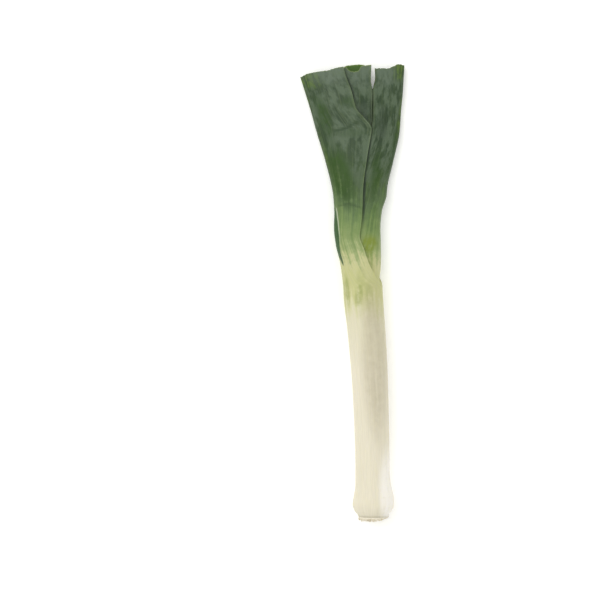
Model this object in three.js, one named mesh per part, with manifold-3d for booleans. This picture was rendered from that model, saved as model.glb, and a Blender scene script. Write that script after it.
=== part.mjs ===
// A trimmed leek, lying flat. Y runs along the stem from the root plate to the cut leaves, X across the
// flattened fan of leaves, and Z up from the surface that the leek lies on. All sizes are in millimetres.
//
// A leek is made of leaves only. Each leaf is one piece: a closed tube at the bottom, the sheath, which opens
// at its mouth and goes on as a blade folded along its middle. The next leaf grows inside that tube with its
// fold on the other side. Every cross-section is a set of nested ovals with one common centre, one oval for
// each leaf, so the leaves never cross.
import * as THREE from 'three';
import { mergeVertices } from 'three/addons/utils/BufferGeometryUtils.js';
import Module from 'manifold-3d';

const LENGTH = 340;
const ROOT_END = -LENGTH / 2;

// Each leaf takes this share of the half section, and a gap is left between neighbours.
const LAYER_SHARE = 0.162;
const LEAF_GAP = 0.3;

// Above this height the rows of a blade are stretched to meet its own cut edge.
const TRIM_START = 144;
const TRIM_END = 170;

// The blades are gently waved from WAVE_START up, all leaves alike.
const WAVE_START = 45;
const WAVE_FULL = 120;
const WAVE_HEIGHT = 1.1;
const WAVE_LENGTH = 58;
const WAVE_SLANT = 0.09;

// The sides of the fan sag under their own weight, so its underside lies almost flat on the surface.
const SAG_START = 45;
const SAG_FULL = 115;
const SAG_SHARE = 0.5;

// The stem plate and the trimmed roots under it.
const PLATE_RIM_RADIUS = 11.2;
const PLATE_BASE_RADIUS = 9.7;
const PLATE_BASE_Y = ROOT_END + 1.5;
const PLATE_CREST_Y = ROOT_END + 6.7;
const PLATE_SLOPE = 0.31;
const LEAF_SEAT = 0.35;
const ROOT_COUNT = 44;
const ROOT_RADIUS = 0.62;
const ROOT_SINK = 1.2;
const ROOT_SIDES = 5;

// The oval that holds all leaves: y, its left and right ends, its half height and the height of its centre.
// The outer leaf closes on the right up to its mouth; above it the right end stands for where it would close.
const OVAL = [
  [-166, 4.0, 26.8, 11.2, 13.9],
  [-163, 1.5, 29.1, 13.3, 14.0],
  [-158, -0.2, 30.9, 14.6, 14.1],
  [-151.5, 0.8, 30.6, 14.2, 14.0],
  [-143, 1.9, 28.6, 13.1, 13.8],
  [-134, 2.0, 27.7, 12.7, 13.7],
  [-103, 1.3, 27.2, 12.6, 13.5],
  [-68, -0.5, 26.4, 12.9, 13.3],
  [-29.5, -3.9, 24.5, 13.4, 13.1],
  [-6, -6.6, 22.8, 13.5, 13.0],
  [4, -7.2, 22.3, 13.4, 12.9],
  [22, -9.5, 23.9, 12.7, 12.3],
  [34.8, -12.7, 24.1, 11.9, 11.6],
  [47.5, -14.1, 23.9, 11.0, 10.8],
  [60, -13.8, 25.1, 10.2, 10.1],
  [71, -14.4, 28.9, 9.6, 9.5],
  [78, -15.5, 29.8, 9.3, 9.2],
  [98, -20.4, 35.3, 8.6, 8.5],
  [120, -27.0, 40.9, 7.9, 7.85],
  [136, -31.4, 42.5, 7.6, 7.6],
  [148, -35.1, 44.1, 7.4, 7.4],
  [160.7, -39.1, 45.3, 7.2, 7.2],
  [170, -41.9, 46.1, 7.1, 7.1],
];

// The leaves from the outside in. side is where the fold lies: -1 left, 1 right. spread is the share of the
// oval's half width that the leaf reaches at the cut end. margins are the blade's free edges above the mouth:
// y, then x on the upper and on the lower half. The cuts are the trimmed ends of both halves: x, y.
const LEAVES = [
  {
    name: 'outer_leaf', color: '#56705a', side: -1, spread: 1, mouth: 4, columns: 22,
    margins: [[12, 16.7, 20], [20, 12.2, 17], [32, 8, 13.5], [41, 5, 11], [49, 6, 10.5], [61, 7, 10.5],
      [76, 7.6, 11], [98, 10.5, 12], [111, 12.6, 12.5], [121, 14, 12], [129, 8.5, 11.3], [136, 2.6, 10],
      [148, -0.6, 6.5], [170, -7, 2]],
    upperCut: [[-39.1, 160.6], [-34.2, 162.3], [-26.6, 163.4], [-7.8, 167]],
    lowerCut: [[-39.1, 160.6], [-30, 162], [-10, 164.5], [2, 165]],
  },
  {
    name: 'second_leaf', color: '#5d7a5c', side: 1, spread: 0.838, mouth: 30, columns: 20,
    margins: [[49, -4, -6], [76, 1, -4], [98, 8, 0], [118, 13.6, 5], [136, 15.2, 10], [150, 15.2, 17],
      [159, 16.9, 18.5], [170, 16.5, 19]],
    upperCut: [[16.5, 166.4], [26.9, 166.7], [35.4, 170], [38.9, 169.3]],
    lowerCut: [[19, 165.5], [30, 166.5], [38.9, 169.3]],
  },
  {
    name: 'third_leaf', color: '#6b8a55', side: -1, spread: 0.69, mouth: 50, columns: 18,
    margins: [[70, 13.5, 15.5], [98, 13.5, 14.5], [121, 14, 14], [137, 14.5, 13.5], [150, 14.4, 12.5],
      [157, 13.7, 12], [170, 14, 11.5]],
    upperCut: [[-28, 158], [-12, 162.5], [-4, 164.2], [1, 164.6], [5, 166.5], [6.6, 169.3], [14, 169]],
    lowerCut: [[-28, 158], [-12, 164.5], [-8, 166.2], [-5.2, 169], [6.6, 170], [11.5, 168.5]],
  },
  {
    name: 'fourth_leaf', color: '#7f9c58', side: 1, spread: 0.72, mouth: 62, columns: 14,
    margins: [[80, 2, 0], [98, 5, 2], [121, 9.5, 7], [150, 18, 19.5], [170, 19, 21]],
    upperCut: [[19, 163.5], [28, 164.5], [34, 166]],
    lowerCut: [[21, 163], [34, 166]],
  },
  {
    name: 'fifth_leaf', color: '#93ad60', side: -1, spread: 0.42, mouth: 76, columns: 12,
    margins: [[98, 12, 13], [121, 12, 12.5], [150, 12, 11.5], [170, 11, 11]],
    upperCut: [[-16, 156], [-4, 160], [11, 162]],
    lowerCut: [[-16, 156], [-4, 161], [11, 163]],
  },
  {
    name: 'heart_leaf', color: '#b7c77b', side: 1, spread: 0.55, mouth: 90, columns: 8,
    margins: [[121, 11, 10], [150, 18.5, 19.5], [170, 20.5, 21.5]],
    upperCut: [[20, 157], [26, 160]],
    lowerCut: [[21, 158], [26, 160]],
  },
];

// Rows of the leaf meshes along Y, closer where the outline bends.
const ROWS = [-163, -158, -152, -145, -134, -105, -68, -30, 4, 12, 17, 22, 34, 48, 62, 76, 90, 104, 116, 124, 130,
  137, 147, 156, 163, 170];
const MOUTH_ROWS = 4;

// A smooth curve through points [y, value], with no overshoot between them (monotone cubic).
function curveThrough(points) {
  const slopes = points.map((point, i) => {
    if (i === 0 || i === points.length - 1) {
      return 0;
    }
    const before = (point[1] - points[i - 1][1]) / (point[0] - points[i - 1][0]);
    const after = (points[i + 1][1] - point[1]) / (points[i + 1][0] - point[0]);
    return before * after <= 0 ? 0 : (2 * before * after) / (before + after);
  });
  return (y) => {
    const last = points.length - 1;
    if (y <= points[0][0]) {
      return points[0][1];
    }
    if (y >= points[last][0]) {
      return points[last][1];
    }
    const i = points.findIndex((point) => point[0] > y) - 1;
    const step = points[i + 1][0] - points[i][0];
    const t = (y - points[i][0]) / step;
    const start = points[i][1] * (1 + 2 * t) * (1 - t) ** 2 + slopes[i] * step * t * (1 - t) ** 2;
    const end = points[i + 1][1] * t * t * (3 - 2 * t) - slopes[i + 1] * step * t * t * (1 - t);
    return start + end;
  };
}

const [ovalLeft, ovalRight, ovalHalfHeight, ovalHeight] = [1, 2, 3, 4].map((column) =>
  curveThrough(OVAL.map((row) => [row[0], row[column]])));

// The oval that leaf number layer follows at y: its centre, its half axes and the leaf's wall.
function leafOval(layer, y) {
  const { spread } = LEAVES[layer];
  const halfWidth = (ovalRight(y) - ovalLeft(y)) / 2;
  const nested = 1 - LAYER_SHARE * layer;
  const share = THREE.MathUtils.lerp(nested, spread, THREE.MathUtils.smoothstep(y, 62, 150));
  return {
    centreX: (ovalRight(y) + ovalLeft(y)) / 2,
    centreZ: ovalHeight(y),
    halfWidth: share * halfWidth,
    halfHeight: nested * ovalHalfHeight(y),
    wall: LAYER_SHARE * ovalHalfHeight(y) - LEAF_GAP,
  };
}

// How far a leaf wraps round its oval from the fold, as an angle: half a turn where the sheath is closed.
function wrapAngle(leaf, layer, y, marginX) {
  if (y <= leaf.mouth) {
    return Math.PI;
  }
  const { centreX, halfWidth } = leafOval(layer, y);
  const reach = (leaf.side * (marginX(y) - centreX)) / halfWidth;
  return Math.acos(THREE.MathUtils.clamp(reach, -1, 1));
}

// How far all leaves are shifted in height at x, y: up by the gentle wave of the blades, which is never below
// zero, and down by the sag, which grows with the square of the distance from the middle of the fan.
function bladeShift(x, y) {
  const phase = (2 * Math.PI * (y - WAVE_START)) / WAVE_LENGTH + WAVE_SLANT * x;
  const wave = THREE.MathUtils.smoothstep(y, WAVE_START, WAVE_FULL) * WAVE_HEIGHT * 0.5 * (1 - Math.cos(phase));
  const across = (2 * x - ovalRight(y) - ovalLeft(y)) / (ovalRight(y) - ovalLeft(y));
  const sag = THREE.MathUtils.smoothstep(y, SAG_START, SAG_FULL) * SAG_SHARE * ovalHalfHeight(y) * across ** 2;
  return wave - sag;
}

// The height where the leaf's lowest ring stands clear of the stem plate's sloping top.
function leafFoot(layer) {
  const { halfWidth, wall } = leafOval(layer, OVAL[0][0]);
  return PLATE_CREST_Y - PLATE_SLOPE * (halfWidth - wall) + LEAF_SEAT;
}

// The rows of one leaf: the common ones, with closer ones where its mouth opens.
function leafRows(leaf, layer) {
  const opened = leaf.margins[0][0];
  const opening = Array.from({ length: MOUTH_ROWS }, (unused, i) =>
    leaf.mouth + ((opened - leaf.mouth) * (i + 1)) / MOUTH_ROWS);
  const closed = ROWS.filter((y) => y < leaf.mouth);
  return [leafFoot(layer), ...closed, leaf.mouth, ...opening, ...ROWS.filter((y) => y > opened)];
}

// A leaf as one closed mesh. Column 0 is the lower margin, the middle column the fold and the last one the
// upper margin; below the mouth the first and last column are the same line and the leaf is a tube.
function buildLeaf(leaf, layer) {
  const closedX = leafOval(layer, leaf.mouth).centreX - leaf.side * leafOval(layer, leaf.mouth).halfWidth;
  const [upperMargin, lowerMargin] = [1, 2].map((column) =>
    curveThrough([[leaf.mouth, closedX], ...leaf.margins.map((row) => [row[0], row[column]])]));
  const [upperCut, lowerCut] = [leaf.upperCut, leaf.lowerCut].map(curveThrough);
  const rows = leafRows(leaf, layer);
  const mouthRow = rows.indexOf(leaf.mouth);
  const { columns } = leaf;

  const pointAt = (rowY, u, depth) => {
    const margin = u >= 0 ? upperMargin : lowerMargin;
    const cut = u >= 0 ? upperCut : lowerCut;
    let y = rowY;
    if (rowY > TRIM_START) {
      const oval = leafOval(layer, TRIM_END);
      const angle = Math.abs(u) * wrapAngle(leaf, layer, TRIM_END, margin);
      const cutY = cut(oval.centreX + leaf.side * oval.halfWidth * Math.cos(angle));
      y = TRIM_START + ((rowY - TRIM_START) * (cutY - TRIM_START)) / (TRIM_END - TRIM_START);
    }
    const oval = leafOval(layer, y);
    const angle = u * wrapAngle(leaf, layer, y, margin);
    const inset = depth * oval.wall;
    const x = oval.centreX + leaf.side * (oval.halfWidth - inset) * Math.cos(angle);
    const z = oval.centreZ + (oval.halfHeight - inset) * Math.sin(angle) + bladeShift(x, y);
    return [x, y, Math.max(z, 0)];
  };

  const position = [];
  for (const depth of [0, 1]) {
    for (const rowY of rows) {
      for (let column = 0; column <= columns; column += 1) {
        position.push(...pointAt(rowY, (2 * column) / columns - 1, depth));
      }
    }
  }
  const vertex = (depth, row, column) => {
    const wrapped = row <= mouthRow && column === columns ? 0 : column;
    return (depth * rows.length + row) * (columns + 1) + wrapped;
  };
  const index = [];
  const quad = (a, b, c, d) => index.push(a, b, c, a, c, d);
  const turned = leaf.side > 0;
  const facedQuad = (a, b, c, d) => (turned ? quad(a, b, c, d) : quad(a, d, c, b));
  const top = rows.length - 1;
  for (let column = 0; column < columns; column += 1) {
    for (let row = 0; row < top; row += 1) {
      const next = column + 1;
      const diagonal = [[row, column], [row + 1, column], [row + 1, next], [row, next]];
      facedQuad(...diagonal.map(([r, c]) => vertex(0, r, c)));
      const inner = diagonal.map(([r, c]) => vertex(1, r, c));
      if (turned) {
        index.push(inner[0], inner[2], inner[1], inner[0], inner[3], inner[2]);
      } else {
        index.push(inner[0], inner[2], inner[3], inner[0], inner[1], inner[2]);
      }
    }
    facedQuad(vertex(0, 0, column), vertex(0, 0, column + 1), vertex(1, 0, column + 1), vertex(1, 0, column));
    facedQuad(vertex(0, top, column), vertex(1, top, column), vertex(1, top, column + 1),
      vertex(0, top, column + 1));
  }
  for (let row = mouthRow; row < top; row += 1) {
    facedQuad(vertex(0, row, 0), vertex(1, row, 0), vertex(1, row + 1, 0), vertex(0, row + 1, 0));
    facedQuad(vertex(0, row, columns), vertex(0, row + 1, columns), vertex(1, row + 1, columns),
      vertex(1, row, columns));
  }
  const geometry = new THREE.BufferGeometry();
  geometry.setAttribute('position', new THREE.Float32BufferAttribute(position, 3));
  geometry.setIndex(index);
  return geometry;
}

// A repeatable stream of numbers between 0 and 1.
function seededNumbers(seed) {
  let state = seed;
  return () => {
    state = (Math.imul(state, 1664525) + 1013904223) >>> 0;
    return state / 2 ** 32;
  };
}

// The stem plate as a low turned disc round Y, with its crest in the middle of the leaves.
function plateDisc() {
  const profile = [
    [0, PLATE_BASE_Y],
    [PLATE_BASE_RADIUS, PLATE_BASE_Y],
    [PLATE_RIM_RADIUS - 0.4, PLATE_BASE_Y + 0.9],
    [PLATE_RIM_RADIUS, PLATE_CREST_Y - PLATE_SLOPE * PLATE_RIM_RADIUS - 0.15],
    [PLATE_RIM_RADIUS - 0.5, PLATE_CREST_Y - PLATE_SLOPE * (PLATE_RIM_RADIUS - 0.5)],
    [0, PLATE_CREST_Y],
  ];
  return new THREE.LatheGeometry(profile.map(([radius, y]) => new THREE.Vector2(radius, y)), 28);
}

// The trimmed roots stand in a spiral over the plate's underside and lean outwards.
function rootStubs() {
  const random = seededNumbers(41);
  const goldenAngle = Math.PI * (3 - Math.sqrt(5));
  return Array.from({ length: ROOT_COUNT }, (unused, i) => {
    const radius = (PLATE_BASE_RADIUS + 0.3) * Math.sqrt((i + 0.5) / ROOT_COUNT);
    const around = i * goldenAngle;
    const lean = 0.55 * (radius / PLATE_BASE_RADIUS) ** 2 + 0.15 * (random() - 0.5);
    const lowest = ROOT_END + 0.9 * random() * (i % 3 === 0 ? 0 : 1);
    const drop = PLATE_BASE_Y - lowest;
    const length = (drop + ROOT_SINK - ROOT_RADIUS * Math.sin(Math.abs(lean))) / Math.cos(lean);
    const tipRadius = ROOT_RADIUS * (0.7 + 0.3 * random());
    const stub = new THREE.CylinderGeometry(ROOT_RADIUS, tipRadius, length, ROOT_SIDES);
    stub.rotateY(around * 3);
    stub.translate(0, -length / 2, 0);
    stub.rotateZ(lean);
    stub.rotateY(-around);
    stub.translate(radius * Math.cos(around), PLATE_BASE_Y + ROOT_SINK, radius * Math.sin(around));
    return stub;
  });
}

const wasm = await Module();
wasm.setup();

// A three.js geometry as a manifold solid, with only its merged positions left.
function toSolid(geometry) {
  const bare = geometry.clone();
  bare.deleteAttribute('normal');
  bare.deleteAttribute('uv');
  const merged = mergeVertices(bare, 1e-4);
  return new wasm.Manifold(new wasm.Mesh({
    numProp: 3,
    vertProperties: Float32Array.from(merged.attributes.position.array),
    triVerts: Uint32Array.from(merged.index.array),
  }));
}

function toGeometry(solid) {
  const mesh = solid.getMesh();
  const geometry = new THREE.BufferGeometry();
  geometry.setAttribute('position', new THREE.BufferAttribute(mesh.vertProperties, 3));
  geometry.setIndex(new THREE.BufferAttribute(mesh.triVerts, 1));
  return geometry;
}

function buildRootPlate() {
  const solid = rootStubs().reduce((joined, stub) => joined.add(toSolid(stub)), toSolid(plateDisc()));
  const foot = leafOval(0, OVAL[0][0]);
  return toGeometry(solid).translate(foot.centreX, 0, foot.centreZ);
}

function namedMesh(name, geometry, color, roughness) {
  const mesh = new THREE.Mesh(geometry, new THREE.MeshStandardMaterial({ color, roughness, metalness: 0 }));
  mesh.name = name;
  return mesh;
}

const leek = new THREE.Group();
LEAVES.forEach((leaf, layer) => leek.add(namedMesh(leaf.name, buildLeaf(leaf, layer), leaf.color, 0.5)));
leek.add(namedMesh('root_plate', buildRootPlate(), '#cdb98f', 0.85));

export default leek;
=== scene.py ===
"""A trimmed leek lying flat, seen from straight above.

Y runs along the stem from the root plate to the cut leaves, X across the fan of leaves and Z up.
Shapes are worked out in millimetres and scaled to metres when a mesh is made.
"""
import logging
import math
from dataclasses import dataclass
from enum import Enum

import bpy
import numpy as np
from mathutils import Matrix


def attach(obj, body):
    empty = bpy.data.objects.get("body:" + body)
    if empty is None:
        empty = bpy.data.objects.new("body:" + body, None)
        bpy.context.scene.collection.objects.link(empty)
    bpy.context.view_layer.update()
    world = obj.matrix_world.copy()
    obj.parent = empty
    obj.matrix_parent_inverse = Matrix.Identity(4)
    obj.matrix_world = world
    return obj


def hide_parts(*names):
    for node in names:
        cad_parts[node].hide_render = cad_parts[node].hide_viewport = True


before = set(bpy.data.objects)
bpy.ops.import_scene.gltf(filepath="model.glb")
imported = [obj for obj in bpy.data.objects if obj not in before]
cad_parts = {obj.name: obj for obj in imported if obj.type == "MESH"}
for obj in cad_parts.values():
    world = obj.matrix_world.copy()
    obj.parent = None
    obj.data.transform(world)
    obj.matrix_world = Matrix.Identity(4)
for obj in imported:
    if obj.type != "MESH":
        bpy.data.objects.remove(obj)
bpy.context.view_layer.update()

MM = 0.001
LOG = logging.getLogger("leek")

# The oval that holds all leaves: y, its left and right ends, its half height and the height of its centre.
OVAL = np.array([
    [-166, 4.0, 26.8, 11.2, 13.9], [-163, 1.5, 29.1, 13.3, 14.0], [-158, -0.2, 30.9, 14.6, 14.1],
    [-151.5, 0.8, 30.6, 14.2, 14.0], [-143, 1.9, 28.6, 13.1, 13.8], [-134, 2.0, 27.7, 12.7, 13.7],
    [-103, 1.3, 27.2, 12.6, 13.5], [-68, -0.5, 26.4, 12.9, 13.3], [-29.5, -3.9, 24.5, 13.4, 13.1],
    [-6, -6.6, 22.8, 13.5, 13.0], [4, -7.2, 22.3, 13.4, 12.9], [22, -9.5, 23.9, 12.7, 12.3],
    [34.8, -12.7, 24.1, 11.9, 11.6], [47.5, -14.1, 23.9, 11.0, 10.8], [60, -13.8, 25.1, 10.2, 10.1],
    [71, -14.4, 28.9, 9.6, 9.5], [78, -15.5, 29.8, 9.3, 9.2], [98, -20.4, 35.3, 8.6, 8.5],
    [120, -27.0, 40.9, 7.9, 7.85], [136, -31.4, 42.5, 7.6, 7.6], [148, -35.1, 44.1, 7.4, 7.4],
    [160.7, -39.1, 45.3, 7.2, 7.2], [170, -41.9, 46.1, 7.1, 7.1],
])
LAYER_SHARE = 0.162
LEAF_GAP = 0.3
SPREAD_START, SPREAD_END = 62.0, 150.0
TRIM_START, TRIM_END = 144.0, 170.0
ROOT_END = -170.0
PLATE_CREST_Y, PLATE_SLOPE, LEAF_SEAT = ROOT_END + 6.7, 0.31, 0.35
WAVE_START, WAVE_FULL, WAVE_HEIGHT, WAVE_LENGTH, WAVE_SLANT = 45.0, 120.0, 1.1, 58.0, 0.09
SAG_START, SAG_FULL, SAG_SHARE = 45.0, 115.0, 0.5


class Side(Enum):
    """The side of the leek that a leaf's fold lies on."""

    LEFT = -1
    RIGHT = 1


class WearAndPaintedLight(Enum):
    """What a patch on a leaf shows, by the attribute that the finish reads: wear, the leaf's own colour,
    painted shade and painted highlights.
    """

    RUBBED = "rubbed"
    SUNNY = "sunny"
    OLIVE = "olive"
    # painted shade: darkens the stem's right half as if it were shaded from the side
    PAINTED_SIDE_SHADE = "dull"
    # painted highlight: lightens the bulb's right side like a glare
    PAINTED_HIGHLIGHT = "blanched"
    FROSTED = "frosted"
    # painted shade in the gaps between leaves and deep in the folds
    PAINTED_SHADE = "deep"


def smooth_step(value: np.ndarray, low: float, high: float) -> np.ndarray:
    """Return a rise from 0 at low to 1 at high along 3t^2 - 2t^3, flat outside."""
    t = np.clip((value - low) / (high - low), 0.0, 1.0)
    return t * t * (3.0 - 2.0 * t)


class SmoothCurve:
    """A curve through points that never overshoots between them."""

    def __init__(self, places: np.ndarray, values: np.ndarray) -> None:
        """Set the inner slopes to the harmonic mean of the slopes on both sides, and the end slopes to zero.

        Args:
            places: Rising places of the points.
            values: Values of the points.
        """
        self.places = np.asarray(places, float)
        self.values = np.asarray(values, float)
        steep = np.diff(self.values) / np.diff(self.places)
        self.slopes = np.zeros(len(self.places))
        before, after = steep[:-1], steep[1:]
        same = before * after > 0
        total = np.where(same, before + after, 1.0)
        self.slopes[1:-1] = np.where(same, 2.0 * before * after / total, 0.0)

    def __call__(self, where: np.ndarray) -> np.ndarray:
        """Evaluate the curve: cubic Hermite pieces, held level beyond both ends.

        Args:
            where: Places to evaluate.

        Returns:
            The curve's value at each place.
        """
        where = np.clip(np.asarray(where, float), self.places[0], self.places[-1])
        i = np.clip(np.searchsorted(self.places, where, side="right") - 1, 0, len(self.places) - 2)
        step = self.places[i + 1] - self.places[i]
        t = (where - self.places[i]) / step
        start = self.values[i] * (1 + 2 * t) * (1 - t) ** 2 + self.slopes[i] * step * t * (1 - t) ** 2
        end = self.values[i + 1] * t * t * (3 - 2 * t) - self.slopes[i + 1] * step * t * t * (1 - t)
        return start + end


OVAL_LEFT, OVAL_RIGHT, OVAL_HALF_HEIGHT, OVAL_HEIGHT = (
    SmoothCurve(OVAL[:, 0], OVAL[:, column]) for column in (1, 2, 3, 4))


class SeededWaves:
    """Smooth repeatable noise along one line: a sum of sine waves with seeded lengths and phases."""

    def __init__(self, seed: int, longest: float, shortest: float, count: int = 9) -> None:
        """Draw the waves.

        Args:
            seed: Seed of the draw.
            longest: Longest wave length.
            shortest: Shortest wave length.
            count: Number of waves.
        """
        draw = np.random.default_rng(seed)
        self.lengths = np.geomspace(longest, shortest, count) * draw.uniform(0.85, 1.15, count)
        self.phases = draw.uniform(0.0, 2.0 * math.pi, count)
        self.weights = (self.lengths / longest) ** 0.5
        self.weights /= self.weights.sum()

    def __call__(self, along: np.ndarray) -> np.ndarray:
        """Return the sum of the weighted sines, between -1 and 1."""
        turns = 2.0 * math.pi * np.asarray(along)[..., None] / self.lengths + self.phases
        return (self.weights * np.sin(turns)).sum(-1)


def blade_shift(x: np.ndarray, y: np.ndarray) -> np.ndarray:
    """Return how far all leaves are shifted in height, in mm.

    A gentle wave, half of one minus a cosine along Y and slanted by X, lifts the blades. Both sides of the
    fan sag by the square of their distance from its middle, so that its underside lies almost flat.

    Args:
        x: Places across the leek.
        y: Places along the leek.

    Returns:
        The shift at each place, up if positive.
    """
    phase = 2.0 * math.pi * (y - WAVE_START) / WAVE_LENGTH + WAVE_SLANT * x
    wave = smooth_step(y, WAVE_START, WAVE_FULL) * WAVE_HEIGHT * 0.5 * (1.0 - np.cos(phase))
    left, right = OVAL_LEFT(y), OVAL_RIGHT(y)
    across = (2.0 * x - right - left) / (right - left)
    return wave - smooth_step(y, SAG_START, SAG_FULL) * SAG_SHARE * OVAL_HALF_HEIGHT(y) * across ** 2


def linear(code: str) -> tuple[float, float, float, float]:
    """Turn an sRGB hex colour into linear red, green, blue and alpha."""
    parts = [int(code[i:i + 2], 16) / 255.0 for i in (1, 3, 5)]
    return tuple(c / 12.92 if c <= 0.04045 else ((c + 0.055) / 1.055) ** 2.4 for c in parts) + (1.0,)


def add_node(tree: bpy.types.NodeTree, kind: str, links: dict | None = None,
             **settings: object) -> bpy.types.Node:
    """Add one shader node.

    Args:
        tree: The material's node tree.
        kind: The node's type name.
        links: Input name or number to an output socket to link from, or to a constant.
        settings: The node's own properties.

    Returns:
        The new node.
    """
    node = tree.nodes.new(kind)
    for key, value in settings.items():
        setattr(node, key, value)
    for key, value in (links or {}).items():
        if isinstance(value, bpy.types.NodeSocket):
            tree.links.new(value, node.inputs[key])
        else:
            node.inputs[key].default_value = value
    return node


class ShaderTree:
    """A new material's shader, with short ways to add the nodes that the finishes share."""

    def __init__(self, name: str) -> None:
        """Make the material and find its surface shader.

        Args:
            name: The material's name.
        """
        self.material = bpy.data.materials.new(name)
        self.material.use_nodes = True
        self.tree = self.material.node_tree
        self.shader = self.tree.nodes["Principled BSDF"]

    def set(self, name: str, value: object) -> None:
        """Give one of the surface shader's inputs its value.

        Args:
            name: The input's name.
            value: An output socket to link from, or a constant.
        """
        if isinstance(value, bpy.types.NodeSocket):
            self.tree.links.new(value, self.shader.inputs[name])
        else:
            self.shader.inputs[name].default_value = value

    def place(self) -> bpy.types.NodeSocket:
        """Return the object coordinates, in metres."""
        return add_node(self.tree, "ShaderNodeTexCoord").outputs["Object"]

    def attribute(self, name: str) -> bpy.types.NodeSocket:
        """Return a number that the mesh carries at each point."""
        return add_node(self.tree, "ShaderNodeAttribute", attribute_name=name).outputs["Fac"]

    def math(self, operation: str, a: object, b: object, clamp: bool = False) -> bpy.types.NodeSocket:
        """Return a sum, difference or product of two numbers, kept between 0 and 1 by clamp."""
        links = {0: a, 1: b}
        return add_node(self.tree, "ShaderNodeMath", links, operation=operation, use_clamp=clamp).outputs[0]

    def mix(self, share: object, a: object, b: object, kind: str = "MIX") -> bpy.types.NodeSocket:
        """Return two colours blended by kind, where share is the share of the second one."""
        links = {0: share, 6: a, 7: b}
        return add_node(self.tree, "ShaderNodeMix", links, data_type="RGBA", blend_type=kind).outputs[2]

    def ranged(self, value: object, low: float, high: float, start: object,
               end: object) -> bpy.types.NodeSocket:
        """Return a number mapped from low and high to start and end, held level outside them."""
        links = {0: value, 1: low, 2: high, 3: start, 4: end}
        return add_node(self.tree, "ShaderNodeMapRange", links).outputs[0]

    def noise(self, size: float, **settings: float) -> bpy.types.NodeSocket:
        """Return noise over the object coordinates, with features of about size in mm."""
        links = {"Vector": self.place(), "Scale": 1.0 / (size * MM), **settings}
        return add_node(self.tree, "ShaderNodeTexNoise", links).outputs["Fac"]

    def drawn_out(self, across: float, along: float, detail: float) -> bpy.types.NodeSocket:
        """Return noise drawn out along the leaf's veins.

        Args:
            across: Size of its features across the veins, in mm.
            along: Size of its features along the veins, in mm.
            detail: Number of finer layers.

        Returns:
            The noise's socket.
        """
        lines = add_node(self.tree, "ShaderNodeUVMap", uv_map=Leaf.UV_NAME).outputs["UV"]
        scaled = add_node(self.tree, "ShaderNodeMapping", {0: lines, 3: (1.0 / across, 1.0 / along, 1.0)})
        links = {"Vector": scaled.outputs[0], "Scale": 1.0, "Detail": detail, "Roughness": 0.6}
        return add_node(self.tree, "ShaderNodeTexNoise", links).outputs["Fac"]

    def ramp(self, value: object, stops: tuple[tuple[float, str], ...]) -> bpy.types.NodeSocket:
        """Turn a number into a colour.

        Args:
            value: The number.
            stops: Positions and their sRGB hex colours.

        Returns:
            The colour's socket.
        """
        node = add_node(self.tree, "ShaderNodeValToRGB", {0: value})
        elements = node.color_ramp.elements
        while len(elements) > 1:
            elements.remove(elements[-1])
        elements[0].position, elements[0].color = stops[0][0], linear(stops[0][1])
        for position, code in stops[1:]:
            elements.new(position).color = linear(code)
        return node.outputs[0]

    def relief(self, height: object, strength: float, depth: float) -> None:
        """Raise the surface's shading by a height.

        Args:
            height: The height, from 0 to 1.
            strength: How strongly it shows.
            depth: The full height in mm.
        """
        links = {"Height": height, "Strength": strength, "Distance": depth * MM}
        bump = add_node(self.tree, "ShaderNodeBump", links)
        self.set("Normal", bump.outputs[0])


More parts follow.
